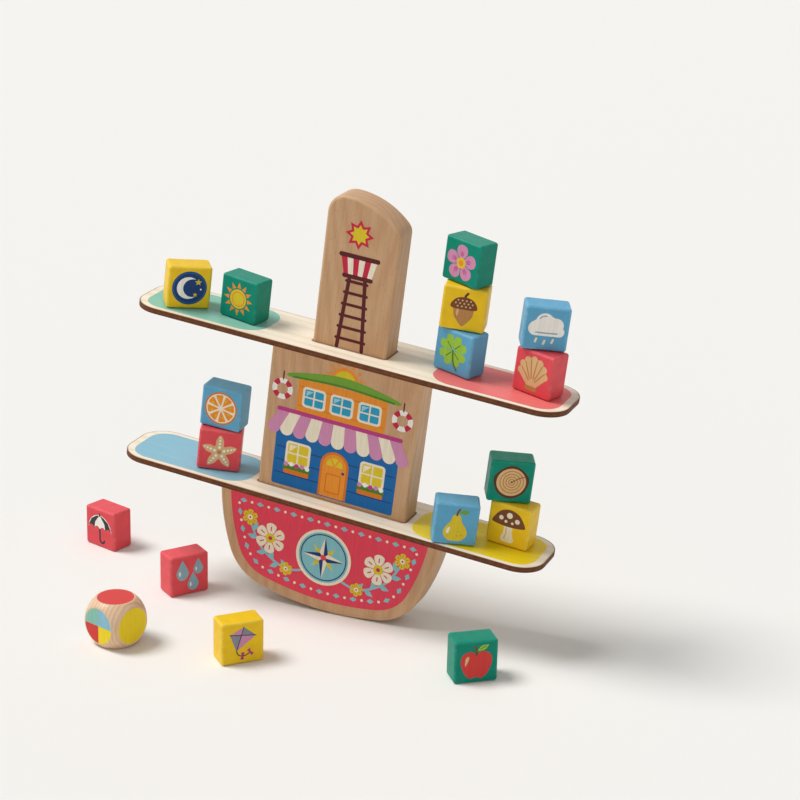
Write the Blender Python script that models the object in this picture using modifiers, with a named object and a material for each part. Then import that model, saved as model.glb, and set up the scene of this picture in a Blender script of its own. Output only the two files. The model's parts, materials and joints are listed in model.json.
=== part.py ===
"""Wooden balancing boat: a rocking board with two slotted decks, blocks to balance and a colour die.

Metres, +Z up, with the boat's front towards -Y. The origin is on the floor, under the centre of
the rocker's curve, where the boat touches the floor. The boat leans to its right, as it does with
this load of blocks.
"""
import math

import bmesh
import bpy
from mathutils import Vector

# The board: hull, cabin and mast, cut from one thick plank
BOARD_THICKNESS = 0.018
BOARD_EDGE_RADIUS = 0.002
HULL_WIDTH = 0.140
HULL_HEIGHT = 0.0665
ROCKER_RADIUS = 0.168
BILGE_RADIUS = 0.032
FLARE_RADIUS = 0.130
FLARE_ANGLE = math.radians(3)
CABIN_WIDTH = 0.093
CABIN_HEIGHT = 0.0935
MAST_WIDTH = 0.045
MAST_HEIGHT = 0.0913
CROWN_SHIFT = 0.0115
CROWN_DROP = 0.0145
CROWN_LEFT_RADIUS = 0.011
CROWN_RIGHT_RADIUS = 0.0075

# The decks: thin plywood, with a slot that drops over the cabin or the mast
DECK_LENGTH = 0.262
DECK_DEPTH = 0.0470
DECK_THICKNESS = 0.0032
DECK_CORNER_RADIUS = 0.016

# The blocks and the colour die, a cube whose corners are turned off to a ball
BLOCK_SIZE = 0.025
BLOCK_DEPTH = 0.015
BLOCK_EDGE_RADIUS = 0.0013
DIE_SIZE = 0.027
DIE_BALL_DIAMETER = 0.035
DIE_PLACE = (-0.1039, -0.0932)
DIE_YAW = -18

# Clearances: round a board in its slot, and under a piece on its seat
SLOT_CLEARANCE = 0.0003
SEAT_GAP = 0.0003

# Facets: the rocker has a flat every ROCKER_STEP, and the boat stands on flat number LEAN_FLAT
ROCKER_STEP = math.radians(3)
LEAN_FLAT = 2
BILGE_STEPS = 6
FLARE_STEPS = 4
CROWN_STEPS = 9
CORNER_STEPS = 5
RIM_SEGMENTS = 3
DECK_CORNER_STEPS = 7
BLOCK_EDGE_SEGMENTS = 2
DIE_BALL_SEGMENTS = 32

# Blocks on a deck: name, deck, layer, place along the deck in block widths, place across it in
# block depths, and turn in degrees
STACKED_BLOCKS = (
    ("block_yellow_1", "upper_deck", 0, -4.18, -0.35, 36),
    ("block_green_1", "upper_deck", 0, -2.76, -0.09, -11),
    ("block_blue_1", "upper_deck", 0, 2.46, 0.17, -16),
    ("block_yellow_2", "upper_deck", 1, 2.40, 0.30, 12),
    ("block_green_2", "upper_deck", 2, 2.32, 0.47, -19),
    ("block_red_1", "upper_deck", 0, 4.34, 0.15, -15),
    ("block_blue_2", "upper_deck", 1, 4.24, 0.40, 25),
    ("block_red_2", "lower_deck", 0, -2.97, -0.27, 21),
    ("block_blue_3", "lower_deck", 1, -2.98, -0.13, 4),
    ("block_blue_4", "lower_deck", 0, 3.08, -0.80, 24),
    ("block_yellow_3", "lower_deck", 0, 4.22, 0.36, -2),
    ("block_green_3", "lower_deck", 1, 3.96, 0.47, 26),
)

# Blocks waiting on the floor: name, place and turn in degrees
FLOOR_BLOCKS = (
    ("block_red_3", -0.1753, 0.0260, -17),
    ("block_red_4", -0.1015, -0.0150, 54),
    ("block_yellow_4", -0.0318, -0.0837, 46),
    ("block_green_4", 0.0944, -0.0494, 38),
)

BEECH = "#c9a077"
BIRCH_PLY = "#ecdcc0"
DIE_MAPLE = "#e8c3a0"
BLOCK_PAINTS = {"yellow": "#f2c81f", "green": "#0d8068", "blue": "#5aa5cc", "red": "#d8414b"}

# Heights above the keel, with the boat upright
CABIN_TOP = HULL_HEIGHT + CABIN_HEIGHT
MAST_TOP = CABIN_TOP + MAST_HEIGHT
DECK_SEATS = {"lower_deck": HULL_HEIGHT + SEAT_GAP, "upper_deck": CABIN_TOP + SEAT_GAP}


def linear_colour(hex_text):
    """Turn an sRGB hex colour into the linear values that a shader takes."""
    channels = []
    for start in (1, 3, 5):
        value = int(hex_text[start:start + 2], 16) / 255
        channels.append(value / 12.92 if value <= 0.04045 else ((value + 0.055) / 1.055) ** 2.4)
    return (*channels, 1.0)


def make_material(name, hex_text, roughness):
    material = bpy.data.materials.new(name)
    material.use_nodes = True
    shader = material.node_tree.nodes["Principled BSDF"]
    shader.inputs["Base Color"].default_value = linear_colour(hex_text)
    shader.inputs["Roughness"].default_value = roughness
    shader.inputs["Metallic"].default_value = 0.0
    return material


def rim_point(centre, radius, turn):
    """A point on a circle, where turn goes from straight down towards +X."""
    return centre + radius * Vector((math.sin(turn), -math.cos(turn)))


def arc(centre, radius, start, end, steps):
    return [rim_point(centre, radius, start + (end - start) * i / steps) for i in range(steps + 1)]


def turn_towards(centre, point):
    offset = point - centre
    return math.atan2(offset.x, -offset.y) % math.tau


def inner_circle_centre(first, first_radius, second, second_radius, radius):
    """Centre of the circle that touches two larger ones from inside, on their right."""
    first_reach = first_radius - radius
    second_reach = second_radius - radius
    span = second - first
    along = (first_reach ** 2 - second_reach ** 2 + span.length_squared) / (2 * span.length)
    across = math.sqrt(first_reach ** 2 - along ** 2)
    direction = span.normalized()
    return first + along * direction + across * Vector((-direction.y, direction.x))


def hull_side():
    """Right side of the hull from keel to shoulder: rocker, bilge and flare run into each other."""
    rocker = Vector((0, ROCKER_RADIUS))
    shoulder = Vector((HULL_WIDTH / 2, HULL_HEIGHT))
    flare_end = math.pi / 2 - FLARE_ANGLE
    flare = 2 * shoulder - rim_point(shoulder, FLARE_RADIUS, flare_end)
    bilge = inner_circle_centre(rocker, ROCKER_RADIUS, flare, FLARE_RADIUS, BILGE_RADIUS)
    bilge_start = turn_towards(rocker, bilge)
    bilge_end = turn_towards(flare, bilge)
    flats = int(bilge_start / ROCKER_STEP)
    points = [rim_point(rocker, ROCKER_RADIUS, (i + 0.5) * ROCKER_STEP) for i in range(flats)]
    points += arc(bilge, BILGE_RADIUS, bilge_start, bilge_end, BILGE_STEPS)
    points += arc(flare, FLARE_RADIUS, bilge_end, flare_end, FLARE_STEPS)[1:]
    return points


def mast_crown():
    """Top of the mast from right to left: highest left of centre, with a small and a large round corner."""
    half = MAST_WIDTH / 2
    reach = half + CROWN_SHIFT
    radius = (reach ** 2 + CROWN_DROP ** 2) / (2 * CROWN_DROP)
    centre = Vector((-CROWN_SHIFT, MAST_TOP - radius))
    corners = []
    for side, corner_radius in ((1, CROWN_RIGHT_RADIUS), (-1, CROWN_LEFT_RADIUS)):
        x = side * (half - corner_radius)
        rise = math.sqrt((radius - corner_radius) ** 2 - (x - centre.x) ** 2)
        corners.append(Vector((x, centre.y + rise)))
    right, left = corners
    start = turn_towards(centre, right)
    end = turn_towards(centre, left)
    points = arc(right, CROWN_RIGHT_RADIUS, math.pi / 2, start, CORNER_STEPS)
    points += arc(centre, radius, start, end, CROWN_STEPS)[1:]
    points += arc(left, CROWN_LEFT_RADIUS, end, 1.5 * math.pi, CORNER_STEPS)[1:]
    return points


def board_outline():
    right = hull_side()
    right.append(Vector((CABIN_WIDTH / 2, HULL_HEIGHT)))
    right.append(Vector((CABIN_WIDTH / 2, CABIN_TOP)))
    right.append(Vector((MAST_WIDTH / 2, CABIN_TOP)))
    left = [Vector((-point.x, point.y)) for point in reversed(right)]
    return right + mast_crown() + left


def deck_outline():
    """A long plank with straight ends and round corners."""
    points = []
    along = DECK_LENGTH / 2 - DECK_CORNER_RADIUS
    across = DECK_DEPTH / 2 - DECK_CORNER_RADIUS
    for quarter, (end, side) in enumerate(((1, -1), (1, 1), (-1, 1), (-1, -1))):
        centre = Vector((end * along, side * across))
        start = quarter * math.pi / 2
        points += arc(centre, DECK_CORNER_RADIUS, start, start + math.pi / 2, DECK_CORNER_STEPS)
    return points


def slot_outline(board_width):
    half_width = board_width / 2 + SLOT_CLEARANCE
    half_depth = BOARD_THICKNESS / 2 + SLOT_CLEARANCE
    corners = ((-1, -1), (1, -1), (1, 1), (-1, 1))
    return [Vector((x * half_width, y * half_depth)) for x, y in corners]


def plate_mesh(name, outlines, thickness):
    """Fill closed outlines and give them a thickness; an outline inside another is a hole."""
    curve = bpy.data.curves.new(name, "CURVE")
    curve.dimensions = "2D"
    curve.fill_mode = "BOTH"
    curve.extrude = thickness / 2
    for points in outlines:
        spline = curve.splines.new("POLY")
        spline.points.add(len(points) - 1)
        for target, point in zip(spline.points, points):
            target.co = (point.x, point.y, 0, 1)
        spline.use_cyclic_u = True
    guide = bpy.data.objects.new(name, curve)
    bpy.context.scene.collection.objects.link(guide)
    depsgraph = bpy.context.evaluated_depsgraph_get()
    mesh = bpy.data.meshes.new_from_object(guide.evaluated_get(depsgraph))
    bpy.data.objects.remove(guide)
    solid = bmesh.new()
    solid.from_mesh(mesh)
    bmesh.ops.remove_doubles(solid, verts=solid.verts, dist=0.000001)
    solid.to_mesh(mesh)
    solid.free()
    return mesh


def round_the_rims(mesh, radius):
    """Round the edges between a plate's two faces and its walls, and leave the walls' corners."""
    solid = bmesh.new()
    solid.from_mesh(mesh)
    for side in (1, -1):
        face_pieces = [face for face in solid.faces if side * face.normal.z > 0.9]
        bmesh.ops.dissolve_faces(solid, faces=face_pieces)
    rims = [edge for edge in solid.edges if any(abs(face.normal.z) > 0.9 for face in edge.link_faces)]
    bmesh.ops.bevel(solid, geom=rims, offset=radius, offset_type="OFFSET", segments=RIM_SEGMENTS,
                    profile=0.5, affect="EDGES", material=-1)
    solid.to_mesh(mesh)
    solid.free()


def shade_round(mesh):
    mesh.shade_smooth()
    mesh.set_sharp_from_angle(angle=math.radians(35))


def add_piece(name, mesh, collection, parent=None):
    piece = bpy.data.objects.new(name, mesh)
    collection.objects.link(piece)
    piece.parent = parent
    return piece


def make_board(collection, boat):
    """The plank stands on edge: its outline is drawn lying down and turned up."""
    mesh = plate_mesh("board", [board_outline()], BOARD_THICKNESS)
    round_the_rims(mesh, BOARD_EDGE_RADIUS)
    shade_round(mesh)
    mesh.materials.append(make_material("oiled_beech", BEECH, 0.5))
    board = add_piece("board", mesh, collection, boat)
    board.location = (0, 0, -ROCKER_RADIUS)
    board.rotation_euler = (math.pi / 2, 0, 0)


def make_deck(name, board_width, collection, boat):
    mesh = plate_mesh(name, [deck_outline(), slot_outline(board_width)], DECK_THICKNESS)
    shade_round(mesh)
    mesh.materials.append(make_material(name + "_birch_ply", BIRCH_PLY, 0.55))
    deck = add_piece(name, mesh, collection, boat)
    deck.location = (0, 0, DECK_SEATS[name] + DECK_THICKNESS / 2 - ROCKER_RADIUS)


def box_mesh(name, size):
    solid = bmesh.new()
    bmesh.ops.create_cube(solid, size=1)
    bmesh.ops.scale(solid, vec=size, verts=solid.verts)
    mesh = bpy.data.meshes.new(name)
    solid.to_mesh(mesh)
    solid.free()
    return mesh


def make_block_meshes():
    """One block shape in each paint."""
    meshes = {}
    for paint, hex_text in BLOCK_PAINTS.items():
        mesh = box_mesh("block_" + paint, (BLOCK_SIZE, BLOCK_DEPTH, BLOCK_SIZE))
        mesh.materials.append(make_material(paint + "_paint", hex_text, 0.4))
        meshes[paint] = mesh
    return meshes


def make_block(name, meshes, collection, parent, place, yaw):
    paint = name.split("_")[1]
    block = add_piece(name, meshes[paint], collection, parent)
    block.location = place
    block.rotation_euler = (0, 0, math.radians(yaw))
    rounding = block.modifiers.new("rounded_edges", "BEVEL")
    rounding.width = BLOCK_EDGE_RADIUS
    rounding.segments = BLOCK_EDGE_SEGMENTS
    rounding.limit_method = "NONE"


def make_blocks(collection, boat):
    meshes = make_block_meshes()
    for name, deck, layer, along, across, yaw in STACKED_BLOCKS:
        deck_top = DECK_SEATS[deck] + DECK_THICKNESS
        height = deck_top + SEAT_GAP + layer * (BLOCK_SIZE + SEAT_GAP) + BLOCK_SIZE / 2
        place = (along * BLOCK_SIZE, across * BLOCK_DEPTH, height - ROCKER_RADIUS)
        make_block(name, meshes, collection, boat, place, yaw)
    for name, x, y, yaw in FLOOR_BLOCKS:
        make_block(name, meshes, collection, None, (x, y, BLOCK_SIZE / 2), yaw)


def make_die(collection, cutters):
    mesh = box_mesh("colour_die", (DIE_SIZE, DIE_SIZE, DIE_SIZE))
    mesh.materials.append(make_material("die_maple", DIE_MAPLE, 0.45))
    die = add_piece("colour_die", mesh, collection)
    die.location = (*DIE_PLACE, DIE_SIZE / 2)
    die.rotation_euler = (0, 0, math.radians(DIE_YAW))
    ball = bmesh.new()
    bmesh.ops.create_uvsphere(ball, u_segments=DIE_BALL_SEGMENTS, v_segments=DIE_BALL_SEGMENTS // 2,
                              radius=DIE_BALL_DIAMETER / 2)
    ball_mesh = bpy.data.meshes.new("die_ball")
    ball.to_mesh(ball_mesh)
    ball.free()
    cutter = add_piece("die_ball", ball_mesh, cutters, die)
    cutter.hide_render = True
    cutter.display_type = "WIRE"
    turned = die.modifiers.new("turned_corners", "BOOLEAN")
    turned.operation = "INTERSECT"
    turned.solver = "EXACT"
    turned.object = cutter


def main():
    for item in list(bpy.data.objects):
        bpy.data.objects.remove(item)
    collection = bpy.data.collections.new("balancing_boat")
    cutters = bpy.data.collections.new("cutters")
    bpy.context.scene.collection.children.link(collection)
    bpy.context.scene.collection.children.link(cutters)
    # The boat turns about the centre of its rocker, so the flat that it stands on lies on the floor
    boat = bpy.data.objects.new("boat", None)
    collection.objects.link(boat)
    boat.location = (0, 0, ROCKER_RADIUS * math.cos(ROCKER_STEP / 2))
    boat.rotation_euler = (0, LEAN_FLAT * ROCKER_STEP, 0)
    make_board(collection, boat)
    make_deck("lower_deck", CABIN_WIDTH, collection, boat)
    make_deck("upper_deck", MAST_WIDTH, collection, boat)
    make_blocks(collection, boat)
    make_die(collection, cutters)


main()
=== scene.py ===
"""Looks of the wooden balancing boat: a printed beech board, birch plywood decks with painted pads,
painted blocks with a printed picture each, and a turned colour die.

Each piece is modelled in millimetres in its own frame (x right, y back, z up) and then set in the
place that the frame gives its node. Outlines take their angles in degrees.
"""
import functools
import json
from math import asin, atan, atan2, cos, degrees, pi, radians, sin, sqrt, tau

import bmesh
import bpy
from bmesh.types import BMEdge, BMFace, BMVert
from mathutils import Matrix, Vector
from mathutils.geometry import interpolate_bezier


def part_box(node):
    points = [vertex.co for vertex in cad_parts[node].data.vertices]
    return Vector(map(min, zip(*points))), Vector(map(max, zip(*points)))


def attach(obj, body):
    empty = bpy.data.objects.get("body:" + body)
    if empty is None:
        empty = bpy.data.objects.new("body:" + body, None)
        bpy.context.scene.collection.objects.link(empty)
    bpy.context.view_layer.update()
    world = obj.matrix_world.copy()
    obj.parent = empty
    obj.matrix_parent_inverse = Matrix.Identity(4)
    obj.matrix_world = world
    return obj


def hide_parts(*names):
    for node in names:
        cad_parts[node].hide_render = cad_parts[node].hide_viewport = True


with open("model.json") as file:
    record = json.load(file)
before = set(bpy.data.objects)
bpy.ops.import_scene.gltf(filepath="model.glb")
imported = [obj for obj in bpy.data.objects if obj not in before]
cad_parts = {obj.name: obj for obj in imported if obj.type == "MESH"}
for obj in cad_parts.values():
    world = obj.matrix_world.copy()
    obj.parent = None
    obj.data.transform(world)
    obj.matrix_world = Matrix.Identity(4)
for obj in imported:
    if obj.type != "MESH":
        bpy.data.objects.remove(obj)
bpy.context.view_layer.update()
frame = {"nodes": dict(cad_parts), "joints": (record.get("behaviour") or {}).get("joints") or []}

# Sizes in millimetres, and angles in degrees, as the board, decks, blocks and die are built
BOARD_THICKNESS = 18.0
BOARD_RIM = 2.0
HULL_WIDTH = 140.0
HULL_HEIGHT = 66.5
ROCKER_RADIUS = 168.0
ROCKER_FLAT = 3.0
BILGE_RADIUS = 32.0
FLARE_RADIUS = 130.0
FLARE_ANGLE = 3.0
CABIN_WIDTH = 93.0
CABIN_HEIGHT = 93.5
MAST_WIDTH = 45.0
MAST_HEIGHT = 91.3
CROWN_SHIFT = 11.5
CROWN_DROP = 14.5
CROWN_LEFT_CORNER = 11.0
CROWN_RIGHT_CORNER = 7.5
DECK_LENGTH = 262.0
DECK_DEPTH = 47.0
DECK_THICKNESS = 3.2
DECK_CORNER = 16.0
SLOT_CLEARANCE = 0.3
SEAT_GAP = 0.3
BLOCK_SIZE = 25.0
BLOCK_DEPTH = 15.0
BLOCK_ROUNDING = 1.5
PICTURE_SIZE = 20.0
DIE_SIZE = 27.0
DIE_BALL = 35.0

# Heights above the keel
CABIN_TOP = HULL_HEIGHT + CABIN_HEIGHT
MAST_TOP = CABIN_TOP + MAST_HEIGHT
LOWER_DECK_MIDDLE = HULL_HEIGHT + SEAT_GAP + DECK_THICKNESS / 2

# Ink and paint lie on the wood as thin plates: how deep they start and how high each layer ends
INK_SINK = 0.06
INK_LIFT = 0.04
INK_STEP = 0.02

# Points closer than NEAR count as one, a face whose normal is past UPRIGHT counts as level, and an edge
# past the sharp angle, in degrees, isn't shaded smooth
NEAR = 0.01
UPRIGHT = 0.99
SHARP_ANGLE = 50.0

# Width of a band of the wave texture at a scale of 1, and the range where most of a noise lies
WAVE_BAND = tau / 20
NOISE_LOW = 0.3
NOISE_HIGH = 0.7

# Metres in a millimetre, and the attributes that the materials read
METRES = 0.001
OWN = "own_mm"
RIM = "rim"

INKS = {
    "coral": "#e8455c", "deep_coral": "#c5304a", "sky": "#86c5cf", "cream": "#f6ead2", "orange": "#f0952e",
    "deep_orange": "#d97a1d", "grass": "#74a838", "lime": "#9ccb3f", "moss": "#4f7f2c", "lemon": "#e3c92a",
    "cyan": "#2aa3cc", "pale_cyan": "#9bd6e6", "navy": "#1b3d77", "marine": "#1468ac", "rose": "#d48fb6",
    "magenta": "#c23f86", "maroon": "#5c1f22", "crimson": "#cc2747", "white": "#fbf8f0", "tan": "#e3bb85",
    "ochre": "#c08a4e", "brown": "#7b4a2a", "bark": "#593520", "grey": "#8b9099", "slate": "#8db3c2",
    "charcoal": "#3a3b40", "sage": "#8ccab8", "pad_coral": "#f47c79", "pad_blue": "#8fc4d8",
    "pad_yellow": "#f8da1e", "red": "#dc403c", "sunny": "#f9dd1e",
}

# How often fibres repeat in a millimetre along each axis
GRAIN_UP = (1.8, 1.8, 0.07)
GRAIN_ALONG_DECK = (0.06, 2.2, 2.2)


# Colours and materials

def linear(hex_text):
    """Turn an sRGB hex colour into linear values."""
    channels = []
    for start in (1, 3, 5):
        value = int(hex_text[start:start + 2], 16) / 255
        channels.append(value / 12.92 if value <= 0.04045 else ((value + 0.055) / 1.055) ** 2.4)
    return (*channels, 1.0)


def add_node(tree, kind, inputs=None, stops=None, **settings):
    """Add a shader node: inputs are values or links of its sockets, stops a ramp's colours, and settings
    its properties."""
    made = tree.nodes.new("ShaderNode" + kind)
    for key, value in settings.items():
        setattr(made, key, value)
    for socket, value in (inputs or {}).items():
        if isinstance(value, bpy.types.NodeSocket):
            tree.links.new(value, made.inputs[socket])
        else:
            made.inputs[socket].default_value = value
    if stops:
        ramp = made.color_ramp
        for end, (position, hex_text) in ((0, stops[0]), (-1, stops[-1])):
            ramp.elements[end].position = position
            ramp.elements[end].color = linear(hex_text)
        for position, hex_text in stops[1:-1]:
            ramp.elements.new(position).color = linear(hex_text)
    return made


class Surface:
    """A material in the making. Constants go on the shader's own sockets, and each step below changes
    the colour that the shader gets at the end."""

    def __init__(self, name, constants):
        self.material = bpy.data.materials.new(name)
        self.material.use_nodes = True
        self.tree = self.material.node_tree
        self.add = functools.partial(add_node, self.tree)
        self.shader = self.tree.nodes["Principled BSDF"]
        for socket, value in constants.items():
            self.shader.inputs[socket].default_value = value
        self.colour = constants.get("Base Color")

    @functools.cached_property
    def own(self):
        """The place on the piece, in millimetres, that the patterns read."""
        return self.add("Attribute", attribute_name=OWN).outputs["Vector"]

    def grain(self, place, band_mm, stops, wander, **shape):
        """Growth bands of a width, coloured from early to late wood. Wander holds how they stray."""
        bands = self.add("TexWave", {
            "Vector": place.outputs[0], "Scale": WAVE_BAND / band_mm, **wander}, **shape)
        colours = self.add("ValToRGB", {"Fac": bands.outputs["Fac"]}, stops=stops)
        self.colour = colours.outputs[0]

    def fibres(self, per_mm, detail=4.0, roughness=0.6):
        """Fibres or blotches that repeat so often in a millimetre along each axis."""
        place = self.add("Mapping", {"Vector": self.own, "Scale": per_mm})
        noise = self.add("TexNoise", {
            "Vector": place.outputs[0], "Scale": 1.0, "Detail": detail, "Roughness": roughness})
        return noise.outputs["Fac"]

    def tone(self, pattern, share, shade, lit_from=NOISE_HIGH):
        """Darken the colour where a pattern is low."""
        tone = self.add("ValToRGB", {"Fac": pattern}, stops=[(NOISE_LOW, shade), (lit_from, "#ffffff")])
        toned = self.add("Mix", {0: share, 6: self.colour, 7: tone.outputs[0]},
                         data_type="RGBA", blend_type="MULTIPLY")
        self.colour = toned.outputs[2]

    def fleck(self, pattern, start, strongest, hex_text):
        """Short marks of another colour, with soft ends, where a pattern is high."""
        soft_end = 0.08
        mask = self.add("MapRange", {
            "Value": pattern, "From Min": start, "From Max": start + soft_end, "To Max": strongest})
        marked = self.add("Mix", {
            0: mask.outputs[0], 6: self.colour, 7: linear(hex_text)}, data_type="RGBA")
        self.colour = marked.outputs[2]

    def edge(self, operation, amount, hex_text):
        """Another colour along the edges, by a share that is worked out from the rim and an amount."""
        rim = self.add("Attribute", attribute_name=RIM)
        share = self.add("Math", {0: rim.outputs["Fac"], 1: amount}, operation=operation)
        edged = self.add("Mix", {
            0: share.outputs[0], 6: self.colour, 7: linear(hex_text)}, data_type="RGBA")
        self.colour = edged.outputs[2]

    def gloss(self, pattern, dull, shiny):
        """Roughness that falls as a pattern rises."""
        level = self.add("MapRange", {"Value": pattern, "From Min": NOISE_LOW, "From Max": NOISE_HIGH,
                                      "To Min": dull, "To Max": shiny})
        self.tree.links.new(level.outputs[0], self.shader.inputs["Roughness"])

    def finish(self, pattern=None, strength=0.0, depth_mm=0.0):
        """Give the shader its colour, and a pattern's relief if it has a depth."""
        self.tree.links.new(self.colour, self.shader.inputs["Base Color"])
        if depth_mm:
            relief = self.add("Bump", {
                "Strength": strength, "Distance": depth_mm * METRES, "Height": pattern})
            self.tree.links.new(relief.outputs[0], self.shader.inputs["Normal"])
        return self.material


def make_beech():
    """Beech plank, planed, sanded and oiled: warm tan with soft growth bands, fine fibres along the
    grain and the short dark flecks of its rays. The grain runs up the board."""
    wood = Surface("oiled_beech_plank", {"Roughness": 0.5, "IOR": 1.5})
    trunk = wood.add("Mapping", {
        "Vector": wood.own, "Location": (-18, 60, 0), "Rotation": (radians(7), radians(3), 0)})
    drawn_out = wood.add("Mapping", {"Vector": trunk.outputs[0], "Scale": (1, 1, 0.12)})
    wood.grain(drawn_out, 5.0, [(0.0, "#d6ac83"), (0.6, "#d3a87e"), (1.0, "#cea177")],
               {"Distortion": 7.0, "Detail": 3.0, "Detail Scale": 0.7, "Detail Roughness": 0.55},
               wave_type="RINGS", rings_direction="Z")
    fibres = wood.fibres((2.4, 2.4, 0.05), 5.0, 0.62)
    wood.tone(fibres, 0.75, "#e0dad3")
    wood.fleck(wood.fibres((2.0, 2.0, 0.42), 1.0, 0.4), 0.66, 0.55, "#94683f")
    wood.tone(wood.fibres((0.022, 0.022, 0.022), 2.0, 0.5), 0.8, "#ece5dc")
    wood.edge("MULTIPLY", 0.14, "#ecca9f")
    wood.gloss(fibres, 0.56, 0.44)
    return wood.finish(fibres, 0.25, depth_mm=0.06)


def make_birch():
    """Face veneer of birch plywood, peeled and sanded: cream, with wide soft figure along the deck, a
    brown halo from the laser along its edges and a few fine brown streaks."""
    veneer = Surface("sanded_birch_veneer", {"Roughness": 0.55, "IOR": 1.5})
    drawn_out = veneer.add("Mapping", {"Vector": veneer.own, "Scale": (0.07, 1, 1)})
    veneer.grain(drawn_out, 9.0, [(0.0, "#fdf4e3"), (0.6, "#fbf0dc"), (1.0, "#f5e6cd")],
                 {"Distortion": 9.0, "Detail": 2.0, "Detail Scale": 0.9, "Detail Roughness": 0.5},
                 wave_type="BANDS", bands_direction="Y")
    fibres = veneer.fibres(GRAIN_ALONG_DECK)
    veneer.tone(fibres, 0.7, "#f0e9de", 0.65)
    veneer.fleck(veneer.fibres((0.16, 1.7, 1), 1.0, 0.5), 0.68, 0.4, "#c49a68")
    veneer.edge("POWER", 2.2, "#8a5a35")
    return veneer.finish(fibres, 0.2, depth_mm=0.05)


def make_burnt_edge():
    """Laser-cut plywood edge: brown char, in three plies with darker glue lines, uneven along the cut."""
    char = Surface("laser_burnt_ply_edge", {"Roughness": 0.65, "IOR": 1.4})
    parts = char.add("SeparateXYZ", {0: char.own})
    level = char.add("MapRange", {
        "Value": parts.outputs["Z"], "From Min": -DECK_THICKNESS / 2, "From Max": DECK_THICKNESS / 2})
    plies = char.add("ValToRGB", {"Fac": level.outputs[0]}, stops=[
        (0.0, "#794418"), (0.26, "#6e3c15"), (0.33, "#542b0d"), (0.39, "#7b441a"), (0.5, "#81491d"),
        (0.61, "#7b441a"), (0.67, "#542b0d"), (0.74, "#703e16"), (1.0, "#7e481b")])
    char.colour = plies.outputs[0]
    soot = char.fibres((0.35, 0.35, 0.5), 4.0, 0.65)
    char.tone(soot, 1.0, "#b4a494")
    return char.finish(soot, 0.4, depth_mm=0.12)


def make_maple():
    """Maple, turned and clear-lacquered: pale, with faint close grain and a satin coat."""
    wood = Surface("lacquered_maple", {
        "Roughness": 0.42, "IOR": 1.5, "Coat Weight": 0.25, "Coat Roughness": 0.3})
    drawn_out = wood.add("Mapping", {
        "Vector": wood.own, "Rotation": (radians(12), radians(8), 0), "Scale": (1, 1, 0.1)})
    wood.grain(drawn_out, 2.2, [(0.0, "#efcfae"), (1.0, "#e2bb94")],
               {"Distortion": 4.0, "Detail": 2.0, "Detail Scale": 0.8},
               wave_type="BANDS", bands_direction="X")
    fibres = wood.add("TexNoise", {
        "Vector": drawn_out.outputs[0], "Scale": 2.5, "Detail": 4.0, "Roughness": 0.6})
    wood.tone(fibres.outputs["Fac"], 0.7, "#e0d6ca")
    return wood.finish()


def make_block_paint(name, face_hex, edge_hex):
    """Satin water-based paint on a wooden block: even, with the wood's fibres faint under it, slightly
    uneven in depth, and thinner and paler along the rounded edges."""
    paint = Surface(name + "_satin_paint", {
        "Base Color": linear(face_hex), "Roughness": 0.4, "IOR": 1.32, "Specular IOR Level": 0.3})
    coat = paint.fibres((0.16, 0.16, 0.16), 3.0, 0.5)
    paint.tone(coat, 0.8, "#f0f0f0")
    rub = paint.add("MapRange", {
        "Value": paint.fibres((0.55, 0.55, 0.55), 3.0, 0.5), "From Min": 0.35, "From Max": 0.7,
        "To Min": 0.06, "To Max": 0.34})
    paint.edge("MULTIPLY", rub.outputs[0], edge_hex)
    paint.gloss(coat, 0.46, 0.36)
    return paint.finish(paint.fibres((1.6, 1.6, 0.12)), 0.22, depth_mm=0.06)


@functools.cache
def ink(name, grain):
    """Screen-printed ink on wood of that grain: a thin satin film, a little lighter and darker with the
    fibres under it. Each is made once."""
    film = Surface(name + "_printed_ink", {
        "Base Color": linear(INKS[name]), "Roughness": 0.42, "IOR": 1.38, "Specular IOR Level": 0.3})
    fibres = film.fibres(grain)
    film.tone(fibres, 0.75, "#e9e7e4", 0.68)
    film.gloss(fibres, 0.5, 0.38)
    return film.finish(fibres, 0.2, depth_mm=0.05)


# Flat outlines, in millimetres

def heading(ahead):
    return degrees(atan2(ahead.y, ahead.x))


def bow(x, y, radius, start, end, steps=14):
    """Points along a circle from one angle to another, anticlockwise from the right."""
    angles = [radians(start + (end - start) * i / steps) for i in range(steps + 1)]
    return [(x + radius * cos(angle), y + radius * sin(angle)) for angle in angles]


def circle(x, y, radius, steps=40):
    return bow(x, y, radius, 0, 360, steps)[:-1]


def slice_of(x, y, inner, outer, start, end):
    """A slice of a ring, or of a disc where inner is 0."""
    tip = bow(x, y, inner, end, start) if inner else [(x, y)]
    return bow(x, y, outer, start, end) + tip


def star(x, y, outer, inner, tips, turn=90.0):
    half = 180 / tips
    points = bow(x, y, outer, turn, turn + 360, tips)[:-1]
    notches = bow(x, y, inner, turn + half, turn + half + 360, tips)[:-1]
    return [spot for pair in zip(points, notches) for spot in pair]


def rounded_box(x, y, width, height, radius, left_radius=None, steps=5):
    """A box with round corners. Those at its left may have a radius of their own."""
    points = []
    for quarter, (side, level) in enumerate(((1, 1), (-1, 1), (-1, -1), (1, -1))):
        corner = left_radius if left_radius and side < 0 else radius
        corner_x = x + side * (width / 2 - corner)
        corner_y = y + level * (height / 2 - corner)
        points += bow(corner_x, corner_y, corner, 90 * quarter, 90 * quarter + 90, steps)
    return points


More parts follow.
